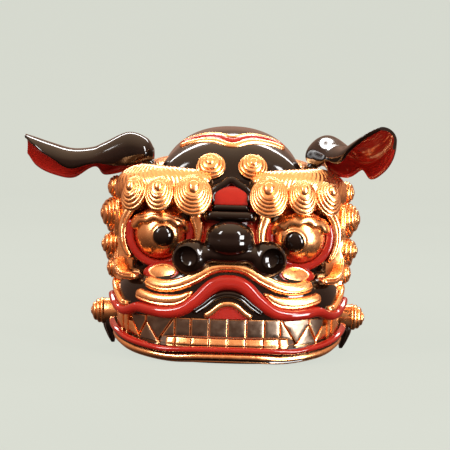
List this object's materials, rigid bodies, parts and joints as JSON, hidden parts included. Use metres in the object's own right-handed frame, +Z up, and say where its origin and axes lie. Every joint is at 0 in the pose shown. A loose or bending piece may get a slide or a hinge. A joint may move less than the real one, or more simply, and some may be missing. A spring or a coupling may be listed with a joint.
{
  "type": "lion dance head",
  "caption": "Hollow carved lion dance head with a hinged lower jaw and turning ears, in black and red lacquer with gold leaf.",
  "frame": {"origin": "on the flat underside of the jaw, on the middle plane of the face", "axes": "+Z up, -Y the way the face looks, +X towards the viewer's right"},
  "size_m": [0.4291, 0.342, 0.2722],
  "materials": {
    "black_lacquer": "polished black lacquer on wood",
    "red_lacquer": "polished vermilion lacquer on wood",
    "gold_leaf": "burnished gold leaf on lacquered wood",
    "bare_wood": "plain wood"
  },
  "bodies": {
    "jaw": {"jaw_tray": "black_lacquer", "jaw_gum": "red_lacquer", "jaw_lip": "gold_leaf", "lower_teeth": "gold_leaf", "jaw_tuft_left": "gold_leaf", "jaw_tuft_right": "gold_leaf", "hinge_peg_left": "bare_wood", "hinge_peg_right": "bare_wood"},
    "head": {"head_shell": "black_lacquer", "crown": "black_lacquer", "crown_band_front": "gold_leaf", "crown_band_mid": "red_lacquer", "crown_band_rear": "gold_leaf", "muzzle": "black_lacquer", "bridge": "red_lacquer", "nose": "black_lacquer", "eye_left": "gold_leaf", "eye_right": "gold_leaf", "pupil_left": "black_lacquer", "pupil_right": "black_lacquer", "eye_rim_left": "red_lacquer", "eye_rim_right": "red_lacquer", "eyelid_left": "gold_leaf", "eyelid_right": "gold_leaf", "tear_fold_left": "gold_leaf", "tear_fold_right": "gold_leaf", "brow_left": "gold_leaf", "brow_right": "gold_leaf", "brow_curl_left_1": "gold_leaf", "brow_curl_left_2": "gold_leaf", "brow_curl_left_3": "gold_leaf", "brow_curl_right_1": "gold_leaf", "brow_curl_right_2": "gold_leaf", "brow_curl_right_3": "gold_leaf", "forehead_curl_left": "gold_leaf", "forehead_curl_right": "gold_leaf", "forehead_frame": "black_lacquer", "forehead_panel": "red_lacquer", "bridge_ridge": "black_lacquer", "upper_lip": "red_lacquer", "muzzle_stripe_upper": "gold_leaf", "muzzle_stripe_left": "gold_leaf", "muzzle_stripe_right": "gold_leaf", "cheek_fold_left_1": "gold_leaf", "cheek_fold_left_2": "gold_leaf", "cheek_fold_right_1": "gold_leaf", "cheek_fold_right_2": "gold_leaf", "cheek_pad_left": "red_lacquer", "cheek_pad_right": "red_lacquer", "lip_line": "black_lacquer", "lip_arch": "gold_leaf", "lip_field": "red_lacquer", "upper_teeth": "gold_leaf", "mane_left": "gold_leaf", "mane_right": "gold_leaf"},
    "left_ear": {"ear_left": "black_lacquer"},
    "right_ear": {"ear_right": "black_lacquer"}
  },
  "joints": [
    {"name": "jaw_hinge", "type": "hinge", "parent": "jaw", "child": "head", "pos_m": [0, 0.115, 0.078], "axis": [-1, 0, 0], "range_deg": [0, 30]},
    {"name": "left_ear_turn", "type": "hinge", "parent": "head", "child": "left_ear", "pos_m": [-0.109, -0.038, 0.23], "axis": [-0.7071, 0, 0.7071], "range_deg": [-20, 20]},
    {"name": "right_ear_turn", "type": "hinge", "parent": "head", "child": "right_ear", "pos_m": [0.106, -0.038, 0.231], "axis": [0.7071, 0, 0.7071], "range_deg": [-20, 20]}
  ]
}
